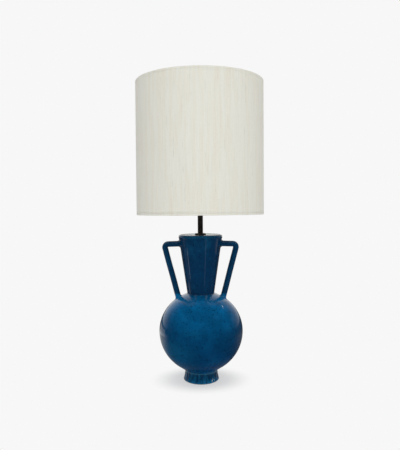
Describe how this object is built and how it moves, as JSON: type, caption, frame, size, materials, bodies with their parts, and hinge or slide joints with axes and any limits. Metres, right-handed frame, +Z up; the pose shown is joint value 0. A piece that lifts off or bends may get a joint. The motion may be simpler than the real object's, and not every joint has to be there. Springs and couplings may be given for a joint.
{
  "type": "table lamp",
  "caption": "Table lamp with a glossy blue ceramic vase base, two angular handles, a dark stem and a tall off-white drum shade.",
  "frame": {"origin": "on the floor under the middle of the foot", "axes": "+Z up the lamp's axis, the front towards -Y, a handle on each side along X"},
  "size_m": [0.35, 0.35, 0.8198],
  "materials": {
    "felt": "dark green wool felt",
    "glaze": "glossy deep blue glaze with fine dark specks",
    "black_plastic": "black moulded plastic",
    "zinc": "zinc-plated steel",
    "nickel": "satin nickel",
    "bronze": "dark bronze paint",
    "brass": "plain brass",
    "paper": "pale pressed board",
    "opal_glass": "frosted white",
    "liner": "white styrene, satin",
    "shade_cloth": "off-white slubbed cloth"
  },
  "bodies": {
    "base": {"foot_felt": "felt", "ceramic_body": "glaze", "handle_left": "glaze", "handle_right": "glaze", "cord_bushing": "black_plastic", "base_washer": "zinc", "base_lock_washer": "zinc", "base_nut": "zinc", "threaded_pipe": "zinc", "vase_cap": "nickel", "neck_collar": "bronze", "stem_tube": "bronze", "harp_saddle": "bronze", "socket_cap": "brass", "socket_set_screw": "zinc", "socket_shell": "brass", "socket_sleeve": "paper", "socket_body": "black_plastic", "terminal_screw_left": "zinc", "terminal_screw_right": "brass", "screw_shell": "brass", "centre_contact": "brass"},
    "switch": {"switch_shaft": "brass", "switch_knob": "black_plastic"},
    "bulb_seat": {"bulb_contact": "black_plastic"},
    "bulb": {"bulb_cap": "zinc", "bulb_glass": "opal_glass", "bulb_stem": "opal_glass", "bulb_filament": "zinc"},
    "harp": {"harp_bow": "bronze", "harp_stud": "zinc"},
    "ferrule_left": {"harp_ferrule_left": "brass"},
    "ferrule_right": {"harp_ferrule_right": "brass"},
    "shade": {"spider_hub": "bronze", "spider_arm_back": "bronze", "spider_arm_left": "bronze", "spider_arm_right": "bronze", "shade_top_ring": "bronze", "shade_bottom_ring": "bronze", "shade_liner": "liner", "shade_fabric": "shade_cloth", "shade_trim_top": "shade_cloth", "shade_trim_bottom": "shade_cloth"},
    "finial_seat": {"finial_base": "bronze"},
    "finial": {"finial_knob": "bronze"}
  },
  "joints": [
    {"name": "switch_turn", "type": "hinge", "parent": "base", "child": "switch", "pos_m": [0, -0.029, 0.51802], "axis": [0, 1, 0], "continuous": true},
    {"name": "bulb_rise", "type": "slide", "parent": "base", "child": "bulb_seat", "axis": [0, 0, 1], "range_m": [0, 0.0109]},
    {"name": "bulb_turn", "type": "hinge", "parent": "bulb_seat", "child": "bulb", "pos_m": [0, 0, 0.5311], "axis": [0, 0, 1], "range_deg": [0, 1080]},
    {"name": "harp_lift", "type": "slide", "parent": "base", "child": "harp", "axis": [0, 0, 1], "range_m": [0, 0.014]},
    {"name": "ferrule_left_slide", "type": "slide", "parent": "harp", "child": "ferrule_left", "axis": [0, 0, 1], "range_m": [0, 0.02]},
    {"name": "ferrule_right_slide", "type": "slide", "parent": "harp", "child": "ferrule_right", "axis": [0, 0, 1], "range_m": [0, 0.02]},
    {"name": "shade_turn", "type": "hinge", "parent": "harp", "child": "shade", "pos_m": [0, 0, 0.794], "axis": [0, 0, 1], "continuous": true},
    {"name": "finial_rise", "type": "slide", "parent": "harp", "child": "finial_seat", "axis": [0, 0, 1], "range_m": [0, 0.0057]},
    {"name": "finial_turn", "type": "hinge", "parent": "finial_seat", "child": "finial", "pos_m": [0, 0, 0.8058], "axis": [0, 0, 1], "range_deg": [0, 2160]}
  ],
  "couplings": [
    {"joint": "bulb_rise", "follows": "bulb_turn", "m_per_rad": 0.0005775},
    {"joint": "finial_rise", "follows": "finial_turn", "m_per_rad": 0.00014972}
  ]
}
